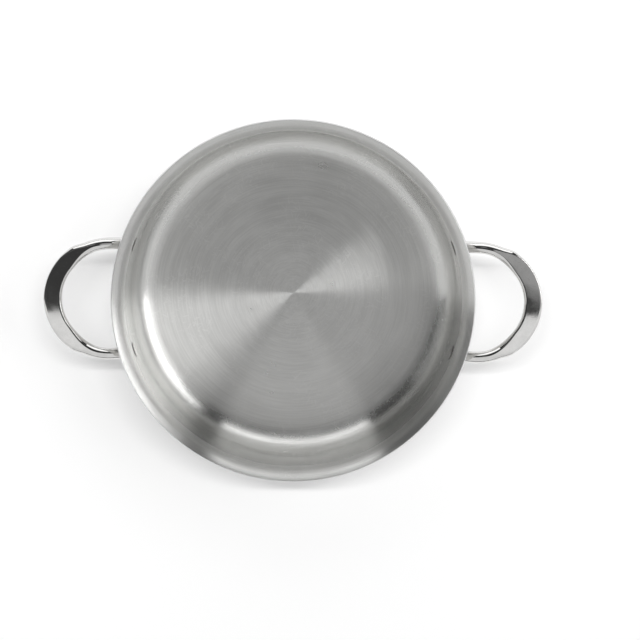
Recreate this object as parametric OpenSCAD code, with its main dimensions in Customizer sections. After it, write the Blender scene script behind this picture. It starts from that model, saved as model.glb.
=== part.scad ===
// Chef pan with two loop handles: a three-ply clad body, two cast handles and four rivets.
// Millimetres. The pan stands on z = 0 with its axis on z, and the handles reach out along x.

/* [Pan body] */
// Outer diameter over the flared lip
rim_d = 280; // [240:1:320]
// Overall height from the base to the top of the lip
pan_h = 80; // [74:1:120]
// Width of the flared lip seen from above
lip_w = 8.5; // [7:0.5:11]
// Radius of the lip's curl on its inner face
lip_r = 12; // [10:0.5:15]
// Height of the straight band under the lip that locates a lid
band_h = 7; // [5:0.5:9]
// Outward lean of the wall in degrees
wall_draft = 1; // [0.5:0.5:3]
// Inside radius between the floor and the wall
corner_r = 20; // [12:1:26]

/* [Plies] */
// Thickness of the stainless inner skin
inner_skin_t = 0.5; // [0.4:0.05:0.8]
// Thickness of the aluminium core
core_t = 1.7; // [1.2:0.1:2.4]
// Thickness of the magnetic outer skin
outer_skin_t = 0.5; // [0.4:0.05:0.8]

/* [Handles] */
// Distance between the centre lines of a handle's two arms
arm_spread = 86; // [76:1:100]
// How far the grip's centre line stands out from the lip's edge
grip_reach = 46; // [40:0.5:56]
// How far the arms run straight beyond the lip's edge
arm_run = 1.5; // [1:0.1:6]
// Depth of the grip's centre line below the top of the lip
grip_drop = 15.5; // [12:0.5:17]
// Width of an arm
arm_w = 9.2; // [8:0.1:11]
// Height of an arm
arm_t = 8.6; // [7.5:0.1:10]
// Reach of the grip inwards from its centre line
grip_inner_w = 7.1; // [6:0.1:8.5]
// Reach of the grip outwards from its centre line, at its middle
grip_outer_w = 7.3; // [6:0.1:8.5]
// Reach of the grip outwards from its centre line, where its face ends
grip_end_w = 6.5; // [5.5:0.1:8]
// Height of the grip's flat face above its centre line
grip_face_h = 3.9; // [3:0.1:5]
// Depth of the grip's rounded belly below its centre line
grip_belly_h = 5.2; // [4:0.1:6.5]
// Angle from the handle's middle at which the grip's face ends
grip_angle = 53; // [44:1:58]
// Half the width of a foot, and the radius of its rounded end
foot_r = 9.5; // [8.5:0.1:11]
// Thickness of a foot at its middle
foot_t = 5.6; // [5:0.1:7]
// Radius of the bend between a foot and its arm
bend_r = 8; // [7:0.5:10]
// Height that an arm gains between its bend and the grip
arm_rise = 5; // [3:0.5:7]
// Length of arm over which it gains that height
rise_run = 20; // [16:1:28]

/* [Rivets] */
// Depth of the rivets below the top of the lip
rivet_drop = 30; // [28:0.5:34]
// Diameter of a rivet's shank
shank_d = 6; // [5:0.1:7]
// Diameter of the head inside the pan
head_d = 12; // [10:0.1:13]
// Height of the head inside the pan
head_h = 1.8; // [1.2:0.1:2.4]
// Height of the cylindrical edge under each head's dome
head_edge_h = 0.5; // [0.3:0.1:0.8]
// Diameter of the head formed against the foot
tail_d = 10.4; // [9:0.1:11]
// Height of the head formed against the foot
tail_h = 1.9; // [1.4:0.1:2.4]
// Clearance round a shank in its hole
shank_gap = 0.1; // [0.05:0.05:0.2]
// Depth of the spot face that seats the formed head
spot_face_h = 0.4; // [0.2:0.1:0.8]
// Clearance round the formed head in its spot face
spot_face_gap = 0.4; // [0.2:0.1:0.8]

/* [Hidden] */
$fn = 240;

// How far a cut or a buried end runs past the surface that it meets
overrun = 1;

// Turn of the rivets and their holes about their own axes, which keeps the line where each
// round starts off the middle line of a foot
seam_turn = 25;

// Body profile
sheet_t = inner_skin_t + core_t + outer_skin_t;
rim_r = rim_d / 2;
mouth_r = rim_r - lip_w;
lip_angle = acos((lip_r - lip_w) / (lip_r - sheet_t));
lip_base_z = pan_h - lip_r * sin(lip_angle);
band_base_z = lip_base_z - band_h;
corner_z = sheet_t + corner_r;
corner_x = mouth_r - (band_base_z - corner_z) * tan(wall_draft) - corner_r / cos(wall_draft);
corner_steps = 20;
lip_steps = 14;
dome_steps = 8;

// Handle layout, worked out from the wall that the feet sit on
rivet_z = pan_h - rivet_drop;
arm_y = arm_spread / 2;
inner_wall_r = mouth_r - (band_base_z - rivet_z) * tan(wall_draft);
outer_wall_r = inner_wall_r + sheet_t / cos(wall_draft);
foot_mid_r = outer_wall_r + foot_t / 2;
foot_x = sqrt(pow(foot_mid_r, 2) - pow(arm_y, 2));
foot_angle = asin(arm_y / foot_mid_r);
grip_z = pan_h - grip_drop;
rise_angle = atan(2 * arm_rise / rise_run);
bend_z = grip_z - arm_rise - bend_r * cos(rise_angle);
bend_end_x = foot_x + bend_r * (1 - sin(rise_angle));
loop_x = rim_r + arm_run;
loop_depth = grip_reach - arm_run;
arm_straight = loop_x - bend_end_x;

// Stations along half a handle, from the foot's round end to the middle of the grip
foot_end_steps = 5;
foot_steps = 3;
bend_steps = 8;
arm_steps = 3;
loop_steps = 21;
foot_end_angle = 14;

// Points round a handle's section
face_points = 6;
shoulder_points = 4;
belly_points = 6;

// Shares of a section's half width that its flat face takes
arm_face_share = 0.2;
grip_face_share = 0.86;
foot_face_share = 0.6;

// Squareness of the sections, where 2 is an ellipse
arm_power = 2;
grip_power = 2.4;
foot_power = 5;

// Angle that the grip's outer edge takes to run down to the arm, and the inner edge with the face
outer_blend_angle = 14;
inner_blend_angle = 27;
inner_lead_angle = 16;

// A smooth step from 0 to 1 while x goes from a to b
function smooth(x, a, b) =
  let (t = max(0, min(1, (x - a) / (b - a)))) t * t * (3 - 2 * t);

// A value between a and b at the fraction t
function mix(a, b, t) = a + (b - a) * t;

// Points of the body's section at depth d under its inner face, from the axis to the lip's edge
function sheet_path(d) = concat(
  [[0, sheet_t - d]],
  [
    for (i = [0 : corner_steps])
      let (a = mix(-90, -wall_draft, i / corner_steps))
        [corner_x, corner_z] + (corner_r + d) * [cos(a), sin(a)]
  ],
  [[mouth_r, band_base_z] + d * [1, -tan(wall_draft / 2)]],
  [
    for (i = [0 : lip_steps])
      let (a = lip_angle * i / lip_steps)
        [mouth_r + lip_r, lip_base_z] - (lip_r - d) * [cos(a), -sin(a)]
  ]
);

function reversed(list) = [for (i = [len(list) - 1 : -1 : 0]) list[i]];

// One layer of the sheet between two depths under the inner face
module ply(from, to) {
  difference() {
    rotate_extrude()
      polygon(concat(sheet_path(from), reversed(sheet_path(to))));
    rivet_holes();
  }
}

// The space inside the pan up to its lip
module cavity() {
  rotate_extrude()
    polygon(concat(sheet_path(0), [[0, pan_h]]));
}

// Children drawn along z stand on the radius at this angle, at the rivets' height
module on_radius(angle) {
  rotate([0, 0, angle])
    translate([0, 0, rivet_z])
      rotate([0, 90, 0])
        rotate([0, 0, seam_turn])
          children();
}

module rivet_holes() {
  for (side = [0, 180], turn = [-foot_angle, foot_angle])
    on_radius(side + turn)
      translate([0, 0, inner_wall_r - foot_t])
        cylinder(h = sheet_t + 2 * foot_t, d = shank_d + 2 * shank_gap);
}

module inner_skin() {
  color("gainsboro")
    ply(0, inner_skin_t);
}

module aluminium_core() {
  color("lightsteelblue")
    ply(inner_skin_t, inner_skin_t + core_t);
}

module outer_skin() {
  color("silver")
    ply(inner_skin_t + core_t, sheet_t);
}

// A low dome over a cylindrical edge, standing on z = 0
module dome_head(d, h) {
  cap_h = h - head_edge_h;
  dome_r = (pow(d / 2, 2) + pow(cap_h, 2)) / (2 * cap_h);
  dome_angle = asin(d / 2 / dome_r);
  rotate_extrude()
    polygon(concat(
      [[0, 0], [d / 2, 0]],
      [
        for (i = [0 : dome_steps])
          let (a = dome_angle * (1 - i / dome_steps))
            [dome_r * sin(a), h - dome_r + dome_r * cos(a)]
      ]
    ));
}

// A rivet whose inner head lies against the wall and whose formed head sits in the foot's spot face
module rivet(angle) {
  seat_r = outer_wall_r + foot_t - spot_face_h;
  color("whitesmoke")
    union() {
      intersection() {
        on_radius(angle)
          translate([0, 0, inner_wall_r])
            union() {
              mirror([0, 0, 1])
                dome_head(head_d, head_h);
              cylinder(h = overrun, d = head_d);
            }
        cavity();
      }
      on_radius(angle)
        translate([0, 0, inner_wall_r - head_h / 2])
          cylinder(h = seat_r - inner_wall_r + head_h / 2 + tail_h / 2, d = shank_d);
      on_radius(angle)
        translate([0, 0, seat_r])
          dome_head(tail_d, tail_h);
    }
}

// One section of a handle: half widths out and in, rise of the flat face, depth of the belly,
// share of the width that the face takes, and squareness
function section(outer, inner, face, belly, share, power) =
  let (
    q = 2 / power,
    crest = face / pow(1 - pow(share, power), 1 / power),
    edge = acos(pow(share, power / 2))
  )
  concat(
    [for (i = [0 : shoulder_points - 1])
      let (a = edge * (1 - i / shoulder_points)) [outer * pow(cos(a), q), crest * pow(sin(a), q)]],
    [for (i = [0 : belly_points - 1])
      let (a = 90 * i / belly_points) [outer * pow(cos(a), q), -belly * pow(sin(a), q)]],
    [for (i = [0 : belly_points - 1])
      let (a = 90 * i / belly_points) [-inner * pow(sin(a), q), -belly * pow(cos(a), q)]],
    [for (i = [0 : shoulder_points - 1])
      let (a = edge * i / shoulder_points) [-inner * pow(cos(a), q), crest * pow(sin(a), q)]],
    [for (i = [0 : face_points - 1])
      [mix(-inner * share, outer * share, i / face_points), face]]
  );

// Radius of the body's outside at this height, on the wall or the band above it
function body_r(z) =
  mouth_r + sheet_t / cos(wall_draft) - max(0, band_base_z - z) * tan(wall_draft);

// A point that would lie inside the wall is moved out along its radius to the wall's face
function off_wall(p) =
  let (k = max(1, body_r(p[2]) / norm([p[0], p[1]]))) [p[0] * k, p[1] * k, p[2]];

// A ring of points: the section laid in the plane of a side vector and an up vector
function ring(centre, side, up, outline) =
  [for (p = outline) off_wall(centre + p[0] * side + p[1] * up)];

// Foot and bend. t runs from 0 at the rivet to 1 where the bend ends, for the share of arm in it
function foot_section(t, half_w) =
  let (k = smooth(t, 0, 1))
  section(
    mix(half_w, arm_w / 2, k), mix(half_w, arm_w / 2, k),
    mix(foot_t / 2 + overrun, arm_t / 2, k), mix(foot_t / 2, arm_t / 2, k),
    mix(foot_face_share, arm_face_share, k), mix(foot_power, arm_power, k)
  );

// Plan vector across the foot, which turns from the wall's tangent to the arm's own side
function foot_side(t) = let (a = foot_angle * (1 - smooth(t, 0, 1))) [-sin(a), cos(a), 0];

foot_length = bend_z - rivet_z + bend_r * (90 - rise_angle) * PI / 180;

function foot_end_rings() = [
  for (i = [0 : foot_end_steps - 1])
    let (a = mix(foot_end_angle, 90, i / foot_end_steps), side = foot_side(0))
      ring(
        [foot_x, arm_y, rivet_z - foot_r * cos(a)], side, [-side[1], side[0], 0],
        foot_section(0, foot_r * sin(a))
      )
];

function foot_rings() = [
  for (i = [0 : foot_steps - 1])
    let (
      z = mix(rivet_z, bend_z, i / foot_steps),
      t = (z - rivet_z) / foot_length,
      side = foot_side(t)
    )
      ring([foot_x, arm_y, z], side, [-side[1], side[0], 0], foot_section(t, foot_r))
];

function bend_rings() = [
  for (i = [0 : bend_steps - 1])
    let (
      pitch = mix(90, rise_angle, i / bend_steps),
      t = (bend_z - rivet_z + bend_r * (90 - pitch) * PI / 180) / foot_length,
      side = foot_side(t)
    )
      ring(
        [foot_x + bend_r * (1 - sin(pitch)), arm_y, bend_z + bend_r * cos(pitch)], side,
        [-side[1] * sin(pitch), side[0] * sin(pitch), cos(pitch)], foot_section(t, foot_r)
      )
];

// Height and pitch of the arm after this length from the bend's end
function arm_z(s) = grip_z - arm_rise * pow(max(0, 1 - s / rise_run), 2);
function arm_pitch(s) = atan(2 * arm_rise / rise_run * max(0, 1 - s / rise_run));

function arm_rings() = [
  for (i = [0 : arm_steps - 1])
    let (s = arm_straight * i / arm_steps, pitch = arm_pitch(s))
      ring(
        [bend_end_x + s, arm_y, arm_z(s)], [0, 1, 0], [-sin(pitch), 0, cos(pitch)],
        foot_section(1, foot_r)
      )
];

// The grip's section at this angle from the handle's middle
function loop_section(angle) =
  let (
    outer_w = mix(grip_outer_w, grip_end_w, min(1, angle / grip_angle)),
    outer_k = 1 - smooth(angle, grip_angle, grip_angle + outer_blend_angle),
    inner_k = 1 - smooth(angle, grip_angle - inner_lead_angle, grip_angle + inner_blend_angle)
  )
  section(
    mix(arm_w / 2, outer_w, outer_k), mix(arm_w / 2, grip_inner_w, inner_k),
    mix(arm_t / 2, grip_face_h, inner_k), mix(arm_t / 2, grip_belly_h, inner_k),
    mix(arm_face_share, grip_face_share, inner_k), mix(arm_power, grip_power, inner_k)
  );

function loop_rings() = [
  for (i = [0 : loop_steps])
    let (
      a = 90 * (1 - i / loop_steps),
      s = arm_straight + arm_y * (90 - a) * PI / 180,
      pitch = arm_pitch(s),
      tilt = [arm_y * cos(a), loop_depth * sin(a), 0],
      side = tilt / norm(tilt)
    )
      ring(
        [loop_x + loop_depth * cos(a), arm_y * sin(a), arm_z(s)], side,
        [-side[1] * sin(pitch), side[0] * sin(pitch), cos(pitch)], loop_section(a)
      )
];

// The other half of a handle, with each section turned over so that the points keep their places
function mirrored(rings) = [
  for (i = [len(rings) - 2 : -1 : 0]) [for (p = rings[i]) [p[0], -p[1], p[2]]]
];

module loft(rings) {
  n = len(rings[0]);
  last = len(rings) - 1;
  polyhedron(
    points = [for (r = rings) for (p = r) p],
    faces = concat(
      [for (i = [0 : last - 1]) for (j = [0 : n - 1])
        let (k = (j + 1) % n) [i * n + j, (i + 1) * n + j, (i + 1) * n + k]],
      [for (i = [0 : last - 1]) for (j = [0 : n - 1])
        let (k = (j + 1) % n) [i * n + j, (i + 1) * n + k, i * n + k]],
      [[for (j = [0 : n - 1]) j]],
      [[for (j = [n - 1 : -1 : 0]) last * n + j]]
    )
  );
}

// A cast loop handle on the side that this angle faces
module handle(side) {
  half = concat(foot_end_rings(), foot_rings(), bend_rings(), arm_rings(), loop_rings());
  color("silver")
    difference() {
      rotate([0, 0, side])
        loft(concat(half, mirrored(half)));
      for (turn = [-foot_angle, foot_angle])
        on_radius(side + turn) {
          translate([0, 0, outer_wall_r - overrun])
            cylinder(h = foot_t + 2 * overrun, d = shank_d + 2 * shank_gap);
          translate([0, 0, outer_wall_r + foot_t - spot_face_h])
            cylinder(h = tail_h + spot_face_h, d = tail_d + 2 * spot_face_gap);
        }
    }
}

module left_handle() { handle(180); }

module right_handle() { handle(0); }

module rivet_left_front() { rivet(180 + foot_angle); }

module rivet_left_back() { rivet(180 - foot_angle); }

module rivet_right_front() { rivet(-foot_angle); }

module rivet_right_back() { rivet(foot_angle); }

inner_skin();
aluminium_core();
outer_skin();
left_handle();
right_handle();
rivet_left_front();
rivet_left_back();
rivet_right_front();
rivet_right_back();
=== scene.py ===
# Chef pan with two loop handles: finer pieces, finishes, studio light and camera.
# Sizes are in millimetres and turn into metres where the meshes are made.
import bpy
import math
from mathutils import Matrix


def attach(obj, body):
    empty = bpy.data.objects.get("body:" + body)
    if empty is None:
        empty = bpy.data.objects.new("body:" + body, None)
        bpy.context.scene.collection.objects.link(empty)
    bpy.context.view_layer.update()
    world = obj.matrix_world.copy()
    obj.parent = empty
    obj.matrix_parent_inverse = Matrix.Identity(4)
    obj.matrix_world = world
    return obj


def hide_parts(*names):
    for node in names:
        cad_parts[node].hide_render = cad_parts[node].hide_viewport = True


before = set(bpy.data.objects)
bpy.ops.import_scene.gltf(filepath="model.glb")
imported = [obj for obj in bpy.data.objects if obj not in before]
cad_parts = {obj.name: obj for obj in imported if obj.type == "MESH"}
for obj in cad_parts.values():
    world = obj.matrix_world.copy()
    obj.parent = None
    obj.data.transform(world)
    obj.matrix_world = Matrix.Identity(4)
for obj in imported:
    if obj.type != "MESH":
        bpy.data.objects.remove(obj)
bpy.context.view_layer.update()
print("frame loaded:", len(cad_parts), "nodes")

mm = 0.001
scene = bpy.context.scene


# Helpers for numbers and pieces
def rad(degrees):
    return degrees * math.pi / 180


def mix(a, b, t):
    return a + (b - a) * t


def smooth(x, a, b):
    t = max(0.0, min(1.0, (x - a) / (b - a)))
    return t * t * (3 - 2 * t)


def curvePoint(start, corner, end, t):
    # on the curve that leaves start and reaches end along the lines to the corner
    return tuple((1 - t) ** 2 * a + 2 * t * (1 - t) * b + t ** 2 * c for a, b, c in zip(start, corner, end))


def addObject(name, data):
    thing = bpy.data.objects.new(name, data)
    scene.collection.objects.link(thing)
    return thing


def newMesh(name, verts, faces):
    # verts come in millimetres
    mesh = bpy.data.meshes.new(name)
    mesh.from_pydata([(x * mm, y * mm, z * mm) for x, y, z in verts], [], faces)
    return mesh


def newPiece(name, verts, faces, material, nodes):
    # the piece rides on the pan and stands for its CAD nodes
    mesh = newMesh(name, verts, faces)
    mesh.validate()
    mesh.shade_smooth()
    mesh.materials.append(material)
    piece = addObject(name, mesh)
    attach(piece, "root")
    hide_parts(*nodes)
    return piece


# Helpers for shader nodes
def addNode(tree, kind, **settings):
    node = tree.nodes.new(kind)
    for key, value in settings.items():
        setattr(node, key, value)
    return node


def feed(tree, value, socket):
    # a number becomes the socket's own value, and the output of another node is linked to it
    if isinstance(value, (int, float)):
        socket.default_value = value
    else:
        tree.links.new(value, socket)


def calc(tree, operation, first, second=None, third=None, clamp=False):
    # one Math node
    node = addNode(tree, "ShaderNodeMath", operation=operation, use_clamp=clamp)
    for place, value in enumerate((first, second, third)):
        if value is not None:
            feed(tree, value, node.inputs[place])
    return node.outputs[0]


def calcVector(tree, operation, first, second=None, scale=None):
    # one Vector Math node
    node = addNode(tree, "ShaderNodeVectorMath", operation=operation)
    for place, value in ((0, first), (1, second), ("Scale", scale)):
        if value is not None:
            feed(tree, value, node.inputs[place])
    return node.outputs["Value" if operation == "LENGTH" else "Vector"]


def ramp(tree, value, low, high, toLow=0.0, toHigh=1.0):
    # a smooth change from one number to another while the value runs from low to high
    node = addNode(tree, "ShaderNodeMapRange", interpolation_type="SMOOTHSTEP")
    numbers = {"Value": value, "From Min": low, "From Max": high, "To Min": toLow, "To Max": toHigh}
    for name, number in numbers.items():
        feed(tree, number, node.inputs[name])
    return node.outputs["Result"]


def noise(tree, vector, scale, detail, rough=0.5):
    node = addNode(tree, "ShaderNodeTexNoise")
    for name, value in {"Vector": vector, "Scale": scale, "Detail": detail, "Roughness": rough}.items():
        feed(tree, value, node.inputs[name])
    return node.outputs["Fac"]


def joinVector(tree, x, y, z):
    node = addNode(tree, "ShaderNodeCombineXYZ")
    for place, value in enumerate((x, y, z)):
        feed(tree, value, node.inputs[place])
    return node.outputs[0]


def splitVector(tree, vector):
    node = addNode(tree, "ShaderNodeSeparateXYZ")
    feed(tree, vector, node.inputs[0])
    return node.outputs


def fromAxis(tree, x, y):
    # distance from the pan's axis
    return calc(tree, "SQRT", calc(tree, "ADD", calc(tree, "MULTIPLY", x, x), calc(tree, "MULTIPLY", y, y)))


def mixColours(tree, first, second, amount):
    # the Mix node's places 6 and 7 and its output 2 are the ones for colours
    node = addNode(tree, "ShaderNodeMix", data_type="RGBA")
    for place, colour in ((6, first), (7, second)):
        if isinstance(colour, tuple):
            node.inputs[place].default_value = (*colour, 1)
        else:
            feed(tree, colour, node.inputs[place])
    feed(tree, amount, node.inputs["Factor"])
    return node.outputs[2]


def newGroup(name, inputs, outputs):
    group = bpy.data.node_groups.new(name, "ShaderNodeTree")
    for label, kind, value in inputs:
        socket = group.interface.new_socket(label, in_out="INPUT", socket_type=kind)
        if value is not None:
            socket.default_value = value
    for label, kind in outputs:
        group.interface.new_socket(label, in_out="OUTPUT", socket_type=kind)
    return group, addNode(group, "NodeGroupInput").outputs, addNode(group, "NodeGroupOutput").inputs


def useGroup(tree, group, **values):
    node = addNode(tree, "ShaderNodeGroup", node_tree=group)
    for key, value in values.items():
        feed(tree, value, node.inputs[key])
    return node.outputs


# Turned grain: how many bands and arcs there are against the fine lines, and how rare and soft the arcs are
grainLook = {"bandShare": 0.16, "arcShare": 0.45, "arcTurn": 1.7, "arcFrom": 0.66, "arcTo": 0.74, "axisGap": 0.0005}


def turnedPlace(tree, x, y, z):
    # the way out and up along a face as one length, and the way round the axis as two numbers
    r = fromAxis(tree, x, y)
    safe = calc(tree, "MAXIMUM", r, grainLook["axisGap"])
    return calc(tree, "ADD", r, z), calc(tree, "DIVIDE", x, safe), calc(tree, "DIVIDE", y, safe)


def makeTurnedGrain():
    # fine lines left by a spinning pad or tool round the z axis, on flat and upright faces alike
    tree, given, out = newGroup(
        "turnedGrain",
        [("Place", "NodeSocketVector", None), ("Lines", "NodeSocketFloat", 900.0), ("Around", "NodeSocketFloat", 2.0)],
        [("Fine", "NodeSocketFloat"), ("Bands", "NodeSocketFloat"), ("Arcs", "NodeSocketFloat")])
    along, cx, cy = turnedPlace(tree, *splitVector(tree, given["Place"]))
    cx = calc(tree, "MULTIPLY", cx, given["Around"])
    cy = calc(tree, "MULTIPLY", cy, given["Around"])
    fineAt = joinVector(tree, calc(tree, "MULTIPLY", along, given["Lines"]), cx, cy)
    bandLines = calc(tree, "MULTIPLY", given["Lines"], grainLook["bandShare"])
    bandAt = joinVector(tree, calc(tree, "MULTIPLY", along, bandLines), cx, cy)
    arcLines = calc(tree, "MULTIPLY", given["Lines"], grainLook["arcShare"])
    arcAt = joinVector(tree, calc(tree, "MULTIPLY", along, arcLines), calc(tree, "MULTIPLY", cx, grainLook["arcTurn"]),
                       calc(tree, "MULTIPLY", cy, grainLook["arcTurn"]))
    arcs = noise(tree, arcAt, scale=1.0, detail=2.0)
    feed(tree, noise(tree, fineAt, scale=1.0, detail=3.0, rough=0.6), out["Fine"])
    feed(tree, noise(tree, bandAt, scale=1.0, detail=2.0), out["Bands"])
    feed(tree, ramp(tree, arcs, grainLook["arcFrom"], grainLook["arcTo"]), out["Arcs"])
    return tree


# Scratches: the turn in degrees and the shift of each layer, how soft their ends are, and the patches they lie in
scratchLook = {"layers": ((14, 0.11), (58, 0.23), (101, 0.37), (149, 0.53)), "lean": (0.13, 0.21),
               "shiftShares": (1.0, 0.7, 0.3), "soft": 0.07,
               "patchScale": 26.0, "patchFrom": 0.42, "patchTo": 0.6, "patchLeast": 0.15}


def makeHairlines():
    # hair-thin scratches at a few angles, in loose patches; Length and Width are those of one scratch's cell
    tree, given, out = newGroup(
        "hairlines",
        [("Place", "NodeSocketVector", None), ("Length", "NodeSocketFloat", 0.03),
         ("Width", "NodeSocketFloat", 0.001), ("Rare", "NodeSocketFloat", 0.68)],
        [("Scratches", "NodeSocketFloat")])
    cell = joinVector(tree, given["Length"], given["Width"], given["Width"])
    top = calc(tree, "ADD", given["Rare"], scratchLook["soft"])
    total = None
    for turn, shift in scratchLook["layers"]:
        mapping = addNode(tree, "ShaderNodeMapping", vector_type="TEXTURE")
        mapping.inputs["Rotation"].default_value = (*scratchLook["lean"], rad(turn))
        mapping.inputs["Location"].default_value = tuple(shift * share for share in scratchLook["shiftShares"])
        feed(tree, given["Place"], mapping.inputs["Vector"])
        feed(tree, cell, mapping.inputs["Scale"])
        dashes = ramp(tree, noise(tree, mapping.outputs[0], scale=1.0, detail=0.0), given["Rare"], top)
        total = dashes if total is None else calc(tree, "MAXIMUM", total, dashes)
    spread = calcVector(tree, "SCALE", given["Place"], scale=scratchLook["patchScale"])
    patch = ramp(tree, noise(tree, spread, scale=1.0, detail=1.0), scratchLook["patchFrom"], scratchLook["patchTo"],
                 scratchLook["patchLeast"], 1.0)
    feed(tree, calc(tree, "MULTIPLY", total, patch), out["Scratches"])
    return tree


# Wiping marks: the small ones' scale against the big ones', and how much there is of each
wipeLook = {"smallScale": 4.3, "smallShare": 0.35, "bigShare": 0.65}


def makeWipeMarks():
    # faint uneven wiping marks, in two sizes
    tree, given, out = newGroup(
        "wipeMarks", [("Place", "NodeSocketVector", None), ("Scale", "NodeSocketFloat", 20.0)],
        [("Marks", "NodeSocketFloat")])
    spread = calcVector(tree, "SCALE", given["Place"], scale=given["Scale"])
    big = calc(tree, "MULTIPLY", noise(tree, spread, scale=1.0, detail=3.0, rough=0.55), wipeLook["bigShare"])
    small = noise(tree, spread, scale=wipeLook["smallScale"], detail=2.0, rough=0.6)
    feed(tree, calc(tree, "MULTIPLY_ADD", small, wipeLook["smallShare"], big), out["Marks"])
    return tree


def makeGrooveNormals():
    # normals rocked up and down across the turned lines by grooves too fine to see one by one
    tree, given, out = newGroup(
        "grooveNormals",
        [("Place", "NodeSocketVector", None), ("Lines", "NodeSocketFloat", 5000.0), ("Depth", "NodeSocketFloat", 0.2)],
        [("Normal", "NodeSocketVector")])
    x, y, z = splitVector(tree, given["Place"])
    along, cx, cy = turnedPlace(tree, x, y, z)
    fineAt = joinVector(tree, calc(tree, "MULTIPLY", along, given["Lines"]), cx, cy)
    fine = noise(tree, fineAt, scale=1.0, detail=1.0, rough=0.6)
    facing = addNode(tree, "ShaderNodeNewGeometry").outputs["Normal"]
    around = calcVector(tree, "NORMALIZE", joinVector(tree, calc(tree, "MULTIPLY", y, -1.0), x, 0.0))
    uphill = calcVector(tree, "CROSS_PRODUCT", facing, around)
    rock = calc(tree, "MULTIPLY", calc(tree, "SUBTRACT", fine, 0.5), given["Depth"])
    rocked = calcVector(tree, "ADD", facing, calcVector(tree, "SCALE", uphill, scale=rock))
    feed(tree, calcVector(tree, "NORMALIZE", rocked), out["Normal"])
    return tree


turnedGrain = makeTurnedGrain()
grooveNormals = makeGrooveNormals()
hairlines = makeHairlines()
wipeMarks = makeWipeMarks()
print("shared effects made")


# Finishes
def blankMaterial(name):
    # a material, its empty node tree and the surface to feed
    material = bpy.data.materials.new(name)
    material.use_nodes = True
    tree = material.node_tree
    tree.nodes.clear()
    return material, tree, addNode(tree, "ShaderNodeOutputMaterial").inputs["Surface"]


def startMetal(name):
    material, tree, surface = blankMaterial(name)
    shader = addNode(tree, "ShaderNodeBsdfPrincipled")
    feed(tree, shader.outputs[0], surface)
    feed(tree, 1.0, shader.inputs["Metallic"])
    place = addNode(tree, "ShaderNodeTexCoord").outputs["Object"]
    return material, tree, shader, place


def scratchesOf(tree, place, look):
    return useGroup(tree, hairlines, Place=place, Length=look["scratchLength"], Width=look["scratchWidth"],
                    Rare=look["scratchRare"])["Scratches"]


def bump(tree, shader, height, distance, under=None):
    node = addNode(tree, "ShaderNodeBump")
    feed(tree, distance, node.inputs["Distance"])
    feed(tree, height, node.inputs["Height"])
    if under:
        feed(tree, under, node.inputs["Normal"])
    feed(tree, node.outputs[0], shader.inputs["Normal"])
    return node.outputs[0]


# What all turned faces share: how the layers of marks add up, and where wall, grooves and lip begin, in metres
turned = {"fineShare": 0.6, "bandShare": 0.4, "toneFrom": 0.3, "toneTo": 0.7, "markTone": 0.6,
          "bandFrom": 0.25, "bandTo": 0.75, "wipeFrom": 0.3, "wipeTo": 0.7, "wipeRoughness": 0.02,
          "scratchRoughness": 0.05, "wallR": (0.114, 0.123), "grooveR": (0.118, 0.127), "lipZ": (0.054, 0.066)}


def turnedSteel(name, look):
    material, tree, shader, place = startMetal(name)
    grain = useGroup(tree, turnedGrain, Place=place, Lines=look["lines"], Around=look["around"])
    wipes = useGroup(tree, wipeMarks, Place=place, Scale=look["wipes"])["Marks"]
    scratches = scratchesOf(tree, place, look)
    tone = calc(tree, "ADD", calc(tree, "MULTIPLY", grain["Fine"], turned["fineShare"]),
                calc(tree, "MULTIPLY", grain["Bands"], turned["bandShare"]))
    marks = calc(tree, "MULTIPLY", calc(tree, "MAXIMUM", grain["Arcs"], scratches), turned["markTone"])
    tone = calc(tree, "ADD", ramp(tree, tone, turned["toneFrom"], turned["toneTo"]), marks)
    feed(tree, mixColours(tree, look["dark"], look["light"], tone), shader.inputs["Base Color"])
    # the wall is smoother than the floor along its lines and deeper grooved across them, and the lip is duller again
    x, y, z = splitVector(tree, place)
    r = fromAxis(tree, x, y)
    wiped = turned["wipeRoughness"]
    rough = ramp(tree, grain["Bands"], turned["bandFrom"], turned["bandTo"],
                 look["roughness"] - look["roughSpread"], look["roughness"] + look["roughSpread"])
    for change in (ramp(tree, wipes, turned["wipeFrom"], turned["wipeTo"], -wiped, wiped),
                   ramp(tree, r, *turned["wallR"], 0.0, look["wallRoughness"] - look["roughness"]),
                   ramp(tree, z, *turned["lipZ"], 0.0, look["lipRoughness"] - look["wallRoughness"])):
        rough = calc(tree, "ADD", rough, change)
    rough = calc(tree, "ADD", rough, calc(tree, "MULTIPLY", scratches, turned["scratchRoughness"]), clamp=True)
    feed(tree, rough, shader.inputs["Roughness"])
    depth = ramp(tree, r, *turned["grooveR"], look["grooves"], look["wallGrooves"])
    rocked = useGroup(tree, grooveNormals, Place=place, Depth=depth)["Normal"]
    height = calc(tree, "SUBTRACT", grain["Fine"], calc(tree, "MULTIPLY", grain["Arcs"], look["arcDepth"]))
    height = calc(tree, "SUBTRACT", height, calc(tree, "MULTIPLY", scratches, look["scratchDepth"]))
    bump(tree, shader, height, look["lineDepth"], under=rocked)
    feed(tree, look["anisotropy"], shader.inputs["Anisotropic"])
    feed(tree, look["grainTurn"], shader.inputs["Anisotropic Rotation"])
    tangent = addNode(tree, "ShaderNodeTangent", direction_type="RADIAL", axis="Z")
    feed(tree, tangent.outputs[0], shader.inputs["Tangent"])
    return material


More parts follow.
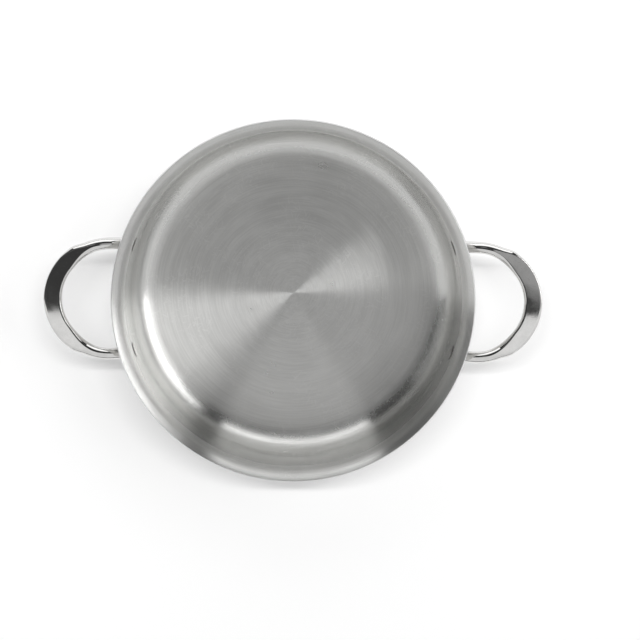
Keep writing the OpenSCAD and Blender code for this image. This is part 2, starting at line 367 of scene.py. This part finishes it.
# Spun inner face of the pan
innerLook = {"dark": (0.69, 0.69, 0.676), "light": (0.80, 0.80, 0.786), "lines": 900.0, "around": 2.2,
             "wipes": 18.0, "scratchLength": 0.035, "scratchWidth": 0.0012, "scratchRare": 0.70,
             "roughness": 0.30, "wallRoughness": 0.215, "lipRoughness": 0.31, "roughSpread": 0.012,
             "grooves": 0.0, "wallGrooves": 0.6, "anisotropy": 1.0, "grainTurn": 0.25,
             "lineDepth": 0.00003, "arcDepth": 0.2, "scratchDepth": 0.0}
spunSteel = turnedSteel("spunInnerSteel", innerLook)

# Brushed outer face, a little coarser and duller
outerLook = {"dark": (0.55, 0.545, 0.53), "light": (0.64, 0.635, 0.62), "lines": 1100.0, "around": 3.0,
             "wipes": 14.0, "scratchLength": 0.03, "scratchWidth": 0.001, "scratchRare": 0.73,
             "roughness": 0.33, "wallRoughness": 0.28, "lipRoughness": 0.3, "roughSpread": 0.03,
             "grooves": 0.2, "wallGrooves": 0.4, "anisotropy": 0.9, "grainTurn": 0.25,
             "lineDepth": 0.00005, "arcDepth": 0.15, "scratchDepth": 0.05}
brushedSteel = turnedSteel("brushedOuterSteel", outerLook)

# Aluminium core, seen only as a line in the cut rim
coreLook = {"dark": (0.72, 0.72, 0.73), "light": (0.84, 0.84, 0.85), "lines": 2200.0, "around": 5.0,
            "wipes": 30.0, "scratchLength": 0.01, "scratchWidth": 0.0006, "scratchRare": 0.72,
            "roughness": 0.42, "wallRoughness": 0.42, "lipRoughness": 0.42, "roughSpread": 0.05,
            "grooves": 0.8, "wallGrooves": 0.8, "anisotropy": 0.5, "grainTurn": 0.25,
            "lineDepth": 0.00003, "arcDepth": 0.5, "scratchDepth": 0.3}
coreMetal = turnedSteel("cutAluminium", coreLook)

# What the polished pieces share
polish = {"wipes": 60.0, "toneFrom": 0.3, "toneTo": 0.7, "roughFrom": 0.3, "roughTo": 0.75, "scratchRoughness": 0.05}


def polishedCasting(name, look):
    material, tree, shader, place = startMetal(name)
    wipes = useGroup(tree, wipeMarks, Place=place, Scale=polish["wipes"])["Marks"]
    scratches = scratchesOf(tree, place, look)
    colour = mixColours(tree, look["dark"], look["light"], ramp(tree, wipes, polish["toneFrom"], polish["toneTo"]))
    if "seamShade" in look:
        # painted shade: a near-black colour mixed in towards the edge of each rivet head
        seamShade = addNode(tree, "ShaderNodeAttribute", attribute_name="seamShade").outputs["Fac"]
        colour = mixColours(tree, colour, look["seamShade"], seamShade)
    feed(tree, colour, shader.inputs["Base Color"])
    rough = ramp(tree, wipes, polish["roughFrom"], polish["roughTo"],
                 look["roughness"] - look["roughSpread"], look["roughness"] + look["roughSpread"])
    rough = calc(tree, "ADD", rough, calc(tree, "MULTIPLY", scratches, polish["scratchRoughness"]), clamp=True)
    feed(tree, rough, shader.inputs["Roughness"])
    waves = bump(tree, shader, noise(tree, place, look["waveScale"], detail=1.0, rough=0.4), look["waveDepth"])
    bump(tree, shader, calc(tree, "SUBTRACT", 1.0, scratches), look["scratchDepth"], under=waves)
    return material


# Polished cast handle
handleLook = {"dark": (0.71, 0.705, 0.695), "light": (0.78, 0.775, 0.765),
              "roughness": 0.045, "roughSpread": 0.012, "waveScale": 55.0, "waveDepth": 0.00002,
              "scratchLength": 0.012, "scratchWidth": 0.0003, "scratchRare": 0.78, "scratchDepth": 0.000001}
polishedSteel = polishedCasting("polishedCastSteel", handleLook)

# Rivets, turned and lightly polished, with painted shade in the seam round their heads
rivetLook = {"dark": (0.63, 0.625, 0.61), "light": (0.72, 0.715, 0.70), "seamShade": (0.07, 0.065, 0.06),
             "roughness": 0.05, "roughSpread": 0.02, "waveScale": 330.0, "waveDepth": 0.0001,
             "scratchLength": 0.005, "scratchWidth": 0.0003, "scratchRare": 0.72, "scratchDepth": 0.000006}
rivetSteel = polishedCasting("rivetSteel", rivetLook)
print("finishes made")

# Pan body: the same sizes as the CAD source, with finer steps
pan = {"rimD": 280.0, "height": 80.0, "lipW": 8.5, "lipR": 12.0, "bandH": 7.0, "draft": 1.0, "cornerR": 20.0,
       "innerT": 0.5, "coreT": 1.7, "outerT": 0.5, "edgeRound": 0.3, "edgeClear": 1.02, "sharpAngle": 40.0,
       "floorSteps": 8, "cornerSteps": 44, "wallSteps": 6, "lipSteps": 26, "edgeSteps": 5, "turns": 288}
sheetT = pan["innerT"] + pan["coreT"] + pan["outerT"]
draft = rad(pan["draft"])
rimR = pan["rimD"] / 2
mouthR = rimR - pan["lipW"]
lipAngle = math.acos((pan["lipR"] - pan["lipW"]) / (pan["lipR"] - sheetT))
lipBaseZ = pan["height"] - pan["lipR"] * math.sin(lipAngle)
bandBaseZ = lipBaseZ - pan["bandH"]
cornerZ = sheetT + pan["cornerR"]
cornerX = mouthR - (bandBaseZ - cornerZ) * math.tan(draft) - pan["cornerR"] / math.cos(draft)


def sheetPath(depth):
    # section of the body at this depth under its inner face, from the axis to the rim
    path = [(cornerX * i / pan["floorSteps"], sheetT - depth) for i in range(pan["floorSteps"])]
    bend = pan["cornerR"] + depth
    for i in range(pan["cornerSteps"] + 1):
        a = mix(-math.pi / 2, -draft, i / pan["cornerSteps"])
        path.append((cornerX + bend * math.cos(a), cornerZ + bend * math.sin(a)))
    below, wallTop = path[-1], (mouthR + depth, bandBaseZ - depth * math.tan(draft / 2))
    for i in range(1, pan["wallSteps"]):
        t = i / pan["wallSteps"]
        path.append((mix(below[0], wallTop[0], t), mix(below[1], wallTop[1], t)))
    path.append(wallTop)
    bend = pan["lipR"] - depth
    for i in range(pan["lipSteps"] + 1):
        a = lipAngle * i / pan["lipSteps"]
        path.append((mouthR + pan["lipR"] - bend * math.cos(a), lipBaseZ + bend * math.sin(a)))
    return path


def easeEnd(path, inwards, radius):
    # rounds the end of a path into the cut edge: inwards is the direction across the sheet
    ex, ez = path[-1]
    px, pz = path[-2]
    length = math.hypot(ex - px, ez - pz)
    back = ((px - ex) / length, (pz - ez) / length)
    clear = radius * pan["edgeClear"]
    kept = [p for p in path if math.hypot(p[0] - ex, p[1] - ez) > clear or p[1] < lipBaseZ]
    start = (ex + back[0] * radius, ez + back[1] * radius)
    end = (ex + inwards[0] * radius, ez + inwards[1] * radius)
    return kept + [curvePoint(start, (ex, ez), end, i / pan["edgeSteps"]) for i in range(pan["edgeSteps"] + 1)]


def revolve(outline, turns):
    # an outline that starts and ends on the axis, turned round z
    onAxis = 1e-6
    verts, faces, rows = [], [], []
    for x, z in outline:
        if x < onAxis:
            rows.append([len(verts)] * turns)
            verts.append((0, 0, z))
        else:
            rows.append(list(range(len(verts), len(verts) + turns)))
            for k in range(turns):
                a = 2 * math.pi * k / turns
                verts.append((x * math.cos(a), x * math.sin(a), z))
    for a, b in zip(rows, rows[1:]):
        for k in range(turns):
            n = (k + 1) % turns
            quad = [a[k], a[n], b[n], b[k]]
            quad = [v for i, v in enumerate(quad) if v != quad[i - 1]]
            if len(quad) > 2:
                faces.append(quad[::-1])
    return verts, faces


innerEnd, outerEnd = sheetPath(0)[-1], sheetPath(sheetT)[-1]
acrossSheet = ((outerEnd[0] - innerEnd[0]) / sheetT, (outerEnd[1] - innerEnd[1]) / sheetT)


def makePly(name, top, bottom, material, node, roundTop, roundBottom):
    upper, lower = sheetPath(top), sheetPath(bottom)
    if roundTop:
        upper = easeEnd(upper, acrossSheet, pan["edgeRound"])
    if roundBottom:
        lower = easeEnd(lower, (-acrossSheet[0], -acrossSheet[1]), pan["edgeRound"])
    verts, faces = revolve(lower + upper[::-1], pan["turns"])
    piece = newPiece(name, verts, faces, material, [node])
    piece.data.set_sharp_from_angle(angle=rad(pan["sharpAngle"]))
    return piece


coreTop, coreBase = pan["innerT"], pan["innerT"] + pan["coreT"]
makePly("innerSkinSheet", 0, coreTop, spunSteel, "inner_skin", True, False)
makePly("coreSheet", coreTop, coreBase, coreMetal, "aluminium_core", False, False)
makePly("outerSkinSheet", coreBase, sheetT, brushedSteel, "outer_skin", False, True)
print("pan body made")

# Handles: the CAD source's sizes, then the shares and powers that shape the sections, then the steps
handle = {"armSpread": 86.0, "gripReach": 46.0, "armRun": 1.5, "gripDrop": 15.5, "armW": 9.2, "armT": 8.6,
          "gripInnerW": 7.1, "gripOuterW": 7.3, "gripEndW": 6.5, "faceH": 3.9, "bellyH": 5.2, "gripAngle": 53.0,
          "footR": 9.5, "footT": 5.6, "bendR": 8.0, "armRise": 5.0, "riseRun": 20.0, "rivetDrop": 30.0,
          "overrun": 1.0, "footEndAngle": 6.0, "edgeRound": 0.55, "edgeShare": 0.45, "sharpAngle": 38.0,
          "armShare": 0.2, "gripShare": 0.86, "footShare": 0.6, "armPower": 2.0, "gripPower": 2.4, "footPower": 5.0,
          "outerBlend": 14.0, "innerBlend": 27.0, "innerLead": 16.0,
          "footEndSteps": 10, "footSteps": 6, "bendSteps": 18, "armSteps": 8, "loopSteps": 72, "searchSteps": 18,
          "facePoints": 12, "roundPoints": 4, "shoulderPoints": 8, "bellyPoints": 11}
rivetZ = pan["height"] - handle["rivetDrop"]
armY = handle["armSpread"] / 2
innerWallR = mouthR - (bandBaseZ - rivetZ) * math.tan(draft)
outerWallR = innerWallR + sheetT / math.cos(draft)
footMidR = outerWallR + handle["footT"] / 2
footX = math.sqrt(footMidR ** 2 - armY ** 2)
footAngle = math.asin(armY / footMidR)
gripZ = pan["height"] - handle["gripDrop"]
riseAngle = math.atan(2 * handle["armRise"] / handle["riseRun"])
bendZ = gripZ - handle["armRise"] - handle["bendR"] * math.cos(riseAngle)
bendEndX = footX + handle["bendR"] * (1 - math.sin(riseAngle))
loopX = rimR + handle["armRun"]
loopDepth = handle["gripReach"] - handle["armRun"]
armStraight = loopX - bendEndX
footLength = bendZ - rivetZ + handle["bendR"] * (math.pi / 2 - riseAngle)


def power(base, exponent):
    return max(0.0, base) ** exponent


def section(outer, inner, face, belly, share, square):
    # flat face, softened edges, round shoulders and belly
    q = 2 / square
    crest = face / (1 - share ** square) ** (1 / square)
    edge = math.acos(share ** (square / 2))

    def shoulder(half, a):
        return half * power(math.cos(a), q), crest * power(math.sin(a), q)

    def softened(half):
        # from the face over its edge and on to the shoulder
        corner = (half * share, face)
        soft = min(handle["edgeRound"], handle["edgeShare"] * half * share)
        low, high = 0.0, edge
        for _ in range(handle["searchSteps"]):
            middle = (low + high) / 2
            if math.dist(shoulder(half, middle), corner) > soft:
                low = middle
            else:
                high = middle
        start, end = (corner[0] - soft, face), shoulder(half, high)
        rounded = [curvePoint(start, corner, end, i / handle["roundPoints"]) for i in range(handle["roundPoints"])]
        steps = handle["shoulderPoints"]
        return rounded + [shoulder(half, high * (1 - i / steps)) for i in range(steps)]

    right = softened(outer)
    left = [(-u, v) for u, v in softened(inner)][::-1]
    quarter = [math.pi / 2 * i / handle["bellyPoints"] for i in range(handle["bellyPoints"])]
    under = [(outer * power(math.cos(a), q), -belly * power(math.sin(a), q)) for a in quarter]
    under += [(-inner * power(math.sin(a), q), -belly * power(math.cos(a), q)) for a in quarter]
    under.append((-inner, 0.0))
    steps = handle["facePoints"]
    top = [(mix(left[-1][0], right[0][0], i / steps), face) for i in range(1, steps)]
    return right + under + left + top


def bodyR(z):
    return mouthR + sheetT / math.cos(draft) - max(0.0, bandBaseZ - z) * math.tan(draft)


def ring(centre, side, up, outline):
    # a section in its place; points that would lie inside the pan's wall move out to it
    points = []
    for u, v in outline:
        x, y, z = (centre[k] + u * side[k] + v * up[k] for k in range(3))
        push = max(1.0, bodyR(z) / math.hypot(x, y))
        points.append((x * push, y * push, z))
    return points


def footSection(t, halfW):
    # from the foot at t = 0 to the round arm at t = 1
    k = smooth(t, 0, 1)
    half = mix(halfW, handle["armW"] / 2, k)
    return section(half, half, mix(handle["footT"] / 2 + handle["overrun"], handle["armT"] / 2, k),
                   mix(handle["footT"] / 2, handle["armT"] / 2, k),
                   mix(handle["footShare"], handle["armShare"], k), mix(handle["footPower"], handle["armPower"], k))


def footSide(t):
    a = footAngle * (1 - smooth(t, 0, 1))
    return (-math.sin(a), math.cos(a), 0.0)


def armZ(s):
    return gripZ - handle["armRise"] * max(0.0, 1 - s / handle["riseRun"]) ** 2


def armPitch(s):
    return math.atan(2 * handle["armRise"] / handle["riseRun"] * max(0.0, 1 - s / handle["riseRun"]))


def loopSection(angle):
    # angle in degrees from the middle of the grip
    end = handle["gripAngle"]
    outerW = mix(handle["gripOuterW"], handle["gripEndW"], min(1.0, angle / end))
    outerK = 1 - smooth(angle, end, end + handle["outerBlend"])
    innerK = 1 - smooth(angle, end - handle["innerLead"], end + handle["innerBlend"])
    armW, armT = handle["armW"] / 2, handle["armT"] / 2
    return section(mix(armW, outerW, outerK), mix(armW, handle["gripInnerW"], innerK),
                   mix(armT, handle["faceH"], innerK), mix(armT, handle["bellyH"], innerK),
                   mix(handle["armShare"], handle["gripShare"], innerK),
                   mix(handle["armPower"], handle["gripPower"], innerK))


def halfHandle():
    # rings from the foot's end up to the middle of the grip
    rings = []
    side = footSide(0)
    for i in range(handle["footEndSteps"]):
        a = mix(rad(handle["footEndAngle"]), math.pi / 2, i / handle["footEndSteps"])
        rings.append(ring((footX, armY, rivetZ - handle["footR"] * math.cos(a)), side, (-side[1], side[0], 0),
                          footSection(0, handle["footR"] * math.sin(a))))
    for i in range(handle["footSteps"]):
        z = mix(rivetZ, bendZ, i / handle["footSteps"])
        t = (z - rivetZ) / footLength
        side = footSide(t)
        rings.append(ring((footX, armY, z), side, (-side[1], side[0], 0), footSection(t, handle["footR"])))
    for i in range(handle["bendSteps"]):
        pitch = mix(math.pi / 2, riseAngle, i / handle["bendSteps"])
        t = (bendZ - rivetZ + handle["bendR"] * (math.pi / 2 - pitch)) / footLength
        side = footSide(t)
        centre = (footX + handle["bendR"] * (1 - math.sin(pitch)), armY, bendZ + handle["bendR"] * math.cos(pitch))
        up = (-side[1] * math.sin(pitch), side[0] * math.sin(pitch), math.cos(pitch))
        rings.append(ring(centre, side, up, footSection(t, handle["footR"])))
    for i in range(handle["armSteps"]):
        s = armStraight * i / handle["armSteps"]
        pitch = armPitch(s)
        rings.append(ring((bendEndX + s, armY, armZ(s)), (0, 1, 0), (-math.sin(pitch), 0, math.cos(pitch)),
                          footSection(1, handle["footR"])))
    for i in range(handle["loopSteps"] + 1):
        a = math.pi / 2 * (1 - i / handle["loopSteps"])
        s = armStraight + armY * (math.pi / 2 - a)
        pitch = armPitch(s)
        tilt = (armY * math.cos(a), loopDepth * math.sin(a))
        size = math.hypot(*tilt)
        side = (tilt[0] / size, tilt[1] / size, 0.0)
        centre = (loopX + loopDepth * math.cos(a), armY * math.sin(a), armZ(s))
        up = (-side[1] * math.sin(pitch), side[0] * math.sin(pitch), math.cos(pitch))
        rings.append(ring(centre, side, up, loopSection(math.degrees(a))))
    return rings


# Rivets, and the holes and flat seats that they need in the handles
rivet = {"shankD": 6.0, "headD": 12.0, "headH": 1.8, "edgeH": 0.5, "tailD": 10.4, "tailH": 1.9, "gap": 0.1,
         "seatDepth": 0.4, "seatGap": 0.4, "cutOver": 1.0, "rimSink": 0.3, "domeSink": 0.25, "edgeRound": 0.42,
         "seamShadeWidth": 1.25, "seamShadeEdge": 0.1, "sharpAngle": 50.0,
         "domeSteps": 14, "easeSteps": 6, "turns": 96, "cutTurns": 64}
seatR = outerWallR + handle["footT"] - rivet["seatDepth"]


def turnedSolid(profile, turns, angle):
    # (radius, distance from the pan's axis) pairs turned round the axis of the rivet at this angle
    verts, faces = revolve(profile, turns)
    c, s = math.cos(angle), math.sin(angle)
    return [(out * c - sideways * s, out * s + sideways * c, rivetZ - down) for down, sideways, out in verts], faces


def cutAway(piece, angle, profile):
    mesh = newMesh("cutter", *turnedSolid(profile, rivet["cutTurns"], angle))
    cutter = addObject("cutter", mesh)
    change = piece.modifiers.new("seat", "BOOLEAN")
    change.operation = "DIFFERENCE"
    change.solver = "EXACT"
    change.object = cutter
    graph = bpy.context.evaluated_depsgraph_get()
    done = bpy.data.meshes.new_from_object(piece.evaluated_get(graph))
    piece.modifiers.clear()
    old = piece.data
    piece.data = done
    bpy.data.meshes.remove(old)
    bpy.data.objects.remove(cutter)
    bpy.data.meshes.remove(mesh)


def makeHandle(name, sideAngle, node):
    half = halfHandle()
    rings = half + [[(x, -y, z) for x, y, z in r] for r in half[-2::-1]]
    count = len(rings[0])
    c, s = math.cos(sideAngle), math.sin(sideAngle)
    verts = [(x * c - y * s, x * s + y * c, z) for r in rings for x, y, z in r]
    faces = []
    for i in range(len(rings) - 1):
        for j in range(count):
            k = (j + 1) % count
            faces.append((i * count + j, i * count + k, (i + 1) * count + k, (i + 1) * count + j))
    last = (len(rings) - 1) * count
    faces.append(tuple(range(count)[::-1]))
    faces.append(tuple(last + j for j in range(count)))
    piece = newPiece(name, verts, faces, polishedSteel, [node])
    hole = rivet["shankD"] / 2 + rivet["gap"]
    seat = rivet["tailD"] / 2 + rivet["seatGap"]
    base, top = outerWallR - rivet["cutOver"], seatR + rivet["seatDepth"] + rivet["tailH"]
    profile = [(0, base), (hole, base), (hole, seatR), (seat, seatR), (seat, top), (0, top)]
    for turn in (-footAngle, footAngle):
        cutAway(piece, sideAngle + turn, profile)
    piece.data.shade_smooth()
    piece.data.set_sharp_from_angle(angle=rad(handle["sharpAngle"]))
    return piece


makeHandle("leftLoopHandle", math.pi, "left_handle")
makeHandle("rightLoopHandle", 0.0, "right_handle")
print("handles made")


def dome(diameter, height, base, sign):
    # low dome with an eased edge, from the base's rim to the middle of its top
    cap = height - rivet["edgeH"]
    radius = ((diameter / 2) ** 2 + cap ** 2) / (2 * cap)
    span = math.asin(diameter / 2 / radius)
    ease = rivet["edgeRound"]
    points = [(diameter / 2, base)]
    for i in range(rivet["easeSteps"]):
        a = i / rivet["easeSteps"] * (math.pi / 2 - span)
        points.append((diameter / 2 - ease * (1 - math.cos(a)),
                       base + sign * (rivet["edgeH"] - ease + ease * math.sin(a))))
    first = ease / radius
    for i in range(rivet["domeSteps"] + 1):
        a = (span - first) * (1 - i / rivet["domeSteps"])
        points.append((radius * math.sin(a), base + sign * (height - radius + radius * math.cos(a))))
    return points


def makeRivet(name, angle, node):
    headBase = innerWallR + rivet["rimSink"]
    inner = dome(rivet["headD"], rivet["headH"], innerWallR + rivet["domeSink"], -1)
    inner[0] = (inner[0][0], headBase)
    outer = dome(rivet["tailD"], rivet["tailH"], seatR, 1)
    shank = rivet["shankD"] / 2
    verts, faces = turnedSolid(inner[::-1] + [(shank, headBase), (shank, seatR)] + outer, rivet["turns"], angle)
    piece = newPiece(name, verts, faces, rivetSteel, [node])
    piece.data.set_sharp_from_angle(angle=rad(rivet["sharpAngle"]))
    # how near each point is to the edge of its head, where painted shade darkens the seam
    seamShade = piece.data.attributes.new("seamShade", "FLOAT", "POINT")
    seamShadeFrom, seamShadeTo = rivet["headD"] / 2 - rivet["seamShadeWidth"], rivet["headD"] / 2 - rivet["seamShadeEdge"]
    c, s = math.cos(angle), math.sin(angle)
    for i, v in enumerate(piece.data.vertices):
        x, y, z = (value / mm for value in v.co)
        seamShade.data[i].value = smooth(math.hypot(-x * s + y * c, z - rivetZ), seamShadeFrom, seamShadeTo)
    return piece


makeRivet("leftFrontRivet", math.pi + footAngle, "rivet_left_front")
makeRivet("leftBackRivet", math.pi - footAngle, "rivet_left_back")
makeRivet("rightFrontRivet", -footAngle, "rivet_right_front")
makeRivet("rightBackRivet", footAngle, "rivet_right_back")
print("rivets made")

# Pale floor with a glow of its own, which grows from farFrom to farTo, in metres from the pan
floorLook = {"size": 8.0, "drop": 0.0004, "tone": (0.58, 0.58, 0.58), "fill": 0.42, "farFrom": 0.35, "farTo": 2.2}


def addSheet(name, corners, material):
    mesh = bpy.data.meshes.new(name)
    mesh.from_pydata(corners, [], [(0, 1, 2, 3)])
    mesh.materials.append(material)
    return addObject(name, mesh)


def makeFloor():
    material, tree, surface = blankMaterial("palePaper")
    diffuse = addNode(tree, "ShaderNodeBsdfDiffuse")
    diffuse.inputs["Color"].default_value = (*floorLook["tone"], 1)
    path = addNode(tree, "ShaderNodeLightPath")
    seen = calc(tree, "MAXIMUM", path.outputs["Is Camera Ray"], path.outputs["Is Glossy Ray"])
    # far off, where the lamp no longer reaches, the floor runs into the white backdrop
    away = calcVector(tree, "LENGTH", addNode(tree, "ShaderNodeTexCoord").outputs["Object"])
    glow = ramp(tree, away, floorLook["farFrom"], floorLook["farTo"], floorLook["fill"], 1.0)
    lift = addNode(tree, "ShaderNodeEmission")
    feed(tree, calc(tree, "MULTIPLY", seen, glow), lift.inputs["Strength"])
    add = addNode(tree, "ShaderNodeAddShader")
    feed(tree, diffuse.outputs[0], add.inputs[0])
    feed(tree, lift.outputs[0], add.inputs[1])
    feed(tree, add.outputs[0], surface)
    half = floorLook["size"] / 2
    floor = addSheet("paleFloor", [(-half, -half, 0), (half, -half, 0), (half, half, 0), (-half, half, 0)], material)
    floor.location.z = -floorLook["drop"]


makeFloor()

# Softboxes in the sky: azimuth from +x towards +y, tilt from straight up, all in degrees
softboxes = [
    {"azimuth": 13.0, "half": 20.0, "edge": 6.0, "from": 33.0, "to": 46.0, "fade": 2.0, "light": 5.5},
    {"azimuth": 14.0, "half": 32.0, "edge": 5.0, "from": 45.0, "to": 62.0, "fade": 2.0, "light": 3.4},
    {"azimuth": 92.0, "half": 32.5, "edge": 0.5, "from": 45.0, "to": 84.0, "fade": 3.0, "light": 1.75},
    {"azimuth": 175.0, "half": 25.0, "edge": 6.0, "from": 45.0, "to": 62.0, "fade": 4.0, "light": 0.55},
    {"azimuth": 150.0, "half": 27.0, "edge": 9.0, "from": 6.0, "to": 21.0, "fade": 3.0, "light": 0.28},
    {"azimuth": 342.2, "half": 17.8, "edge": 0.6, "from": 8.5, "to": 34.0, "fade": 1.5, "light": 0.5},
    {"azimuth": 342.2, "half": 17.8, "edge": 0.6, "from": 6.0, "to": 9.0, "fade": 0.5, "light": 0.33},
]
sky = {"zenith": 0.06, "horizon": 0.15, "riseFrom": 72.0, "riseTo": 86.0}
perRadian = 180 / math.pi


def makeSoftbox():
    # the glow of one box in the direction that Ahead, Sideways and Tilt give
    tree, given, out = newGroup(
        "softbox",
        [("Ahead", "NodeSocketFloat", 1.0), ("Sideways", "NodeSocketFloat", 0.0), ("Tilt", "NodeSocketFloat", 0.0),
         ("Half", "NodeSocketFloat", 20.0), ("Edge", "NodeSocketFloat", 5.0), ("From", "NodeSocketFloat", 10.0),
         ("To", "NodeSocketFloat", 40.0), ("Fade", "NodeSocketFloat", 5.0), ("Light", "NodeSocketFloat", 1.0)],
        [("Glow", "NodeSocketFloat")])
    turn = calc(tree, "ABSOLUTE", calc(tree, "ARCTAN2", given["Sideways"], given["Ahead"]))
    turn = calc(tree, "MULTIPLY", turn, perRadian)
    limits = []
    for value, edge, width, toLow, toHigh in ((turn, "Half", "Edge", 1.0, 0.0),
                                              (given["Tilt"], "From", "Fade", 0.0, 1.0),
                                              (given["Tilt"], "To", "Fade", 1.0, 0.0)):
        low = calc(tree, "SUBTRACT", given[edge], given[width])
        high = calc(tree, "ADD", given[edge], given[width])
        limits.append(ramp(tree, value, low, high, toLow, toHigh))
    inside = calc(tree, "MULTIPLY", limits[0], limits[1])
    feed(tree, calc(tree, "MULTIPLY", inside, calc(tree, "MULTIPLY", limits[2], given["Light"])), out["Glow"])
    return tree


def makeSky():
    softbox = makeSoftbox()
    world = bpy.data.worlds.new("studioSky")
    scene.world = world
    world.use_nodes = True
    tree = world.node_tree
    tree.nodes.clear()
    x, y, z = splitVector(tree, addNode(tree, "ShaderNodeTexCoord").outputs["Generated"])
    tilt = calc(tree, "MULTIPLY", calc(tree, "ARCCOSINE", z), perRadian)
    total = ramp(tree, tilt, sky["riseFrom"], sky["riseTo"], sky["zenith"], sky["horizon"])
    for box in softboxes:
        c, s = math.cos(rad(box["azimuth"])), math.sin(rad(box["azimuth"]))
        ahead = calc(tree, "ADD", calc(tree, "MULTIPLY", x, c), calc(tree, "MULTIPLY", y, s))
        sideways = calc(tree, "SUBTRACT", calc(tree, "MULTIPLY", y, c), calc(tree, "MULTIPLY", x, s))
        glow = useGroup(tree, softbox, Ahead=ahead, Sideways=sideways, Tilt=tilt, Half=box["half"], Edge=box["edge"],
                        From=box["from"], To=box["to"], Fade=box["fade"], Light=box["light"])["Glow"]
        total = calc(tree, "MAXIMUM", total, glow)
    light = addNode(tree, "ShaderNodeBackground")
    feed(tree, total, light.inputs["Strength"])
    # the camera itself sees plain white
    plain = addNode(tree, "ShaderNodeBackground")
    plain.inputs["Color"].default_value = (1, 1, 1, 1)
    choose = addNode(tree, "ShaderNodeMixShader")
    feed(tree, addNode(tree, "ShaderNodeLightPath").outputs["Is Camera Ray"], choose.inputs[0])
    feed(tree, light.outputs[0], choose.inputs[1])
    feed(tree, plain.outputs[0], choose.inputs[2])
    feed(tree, choose.outputs[0], addNode(tree, "ShaderNodeOutputWorld").inputs["Surface"])


makeSky()

# White card in front of the pan, which only reflections show; it grows lighter from brightFrom to brightTo
card = {"y": -0.145, "low": 0.09, "high": 1.2, "half": 1.2, "light": 0.77, "topLight": 0.87,
        "brightFrom": 0.6, "brightTo": 1.0}


def makeCard():
    material, tree, surface = blankMaterial("whiteCardPaper")
    height = splitVector(tree, addNode(tree, "ShaderNodeTexCoord").outputs["Object"])[2]
    glow = addNode(tree, "ShaderNodeEmission")
    light = ramp(tree, height, card["brightFrom"], card["brightTo"], card["light"], card["topLight"])
    feed(tree, light, glow.inputs["Strength"])
    feed(tree, glow.outputs[0], surface)
    y, w, low, high = card["y"], card["half"], card["low"], card["high"]
    piece = addSheet("whiteCard", [(-w, y, low), (w, y, low), (w, y, high), (-w, y, high)], material)
    piece.visible_camera = False
    piece.visible_diffuse = False
    piece.visible_shadow = False


makeCard()

# Long lamp high above the back, which lights the floor and leaves the soft shadow in front of the pan
lamp = {"place": (0.0, 0.8, 3.0), "long": 2.2, "wide": 0.15, "watts": 73.0}


def makeLamp():
    data = bpy.data.lights.new("stripLamp", "AREA")
    data.shape = "RECTANGLE"
    data.size, data.size_y = lamp["long"], lamp["wide"]
    data.energy = lamp["watts"]
    piece = addObject("stripLamp", data)
    piece.location = lamp["place"]
    piece.visible_camera = False
    piece.visible_glossy = False


makeLamp()

# Camera in the photograph's place
cameraLook = {"place": (7.35, 135.26, 1280.0), "tilt": -7.03, "yaw": -0.63, "roll": 0.61, "lens": 88.76,
              "sensor": 36.0, "nearest": 0.05, "farthest": 50.0}


def makeCamera():
    data = bpy.data.cameras.new("photoCamera")
    data.lens = cameraLook["lens"]
    data.sensor_width = cameraLook["sensor"]
    data.clip_start = cameraLook["nearest"]
    data.clip_end = cameraLook["farthest"]
    camera = addObject("photoCamera", data)
    camera.location = tuple(v * mm for v in cameraLook["place"])
    camera.rotation_mode = "ZYX"
    camera.rotation_euler = (rad(cameraLook["tilt"]), rad(cameraLook["yaw"]), rad(cameraLook["roll"]))
    scene.camera = camera


makeCamera()
scene.view_settings.view_transform = "Standard"
print("floor, light and camera made")
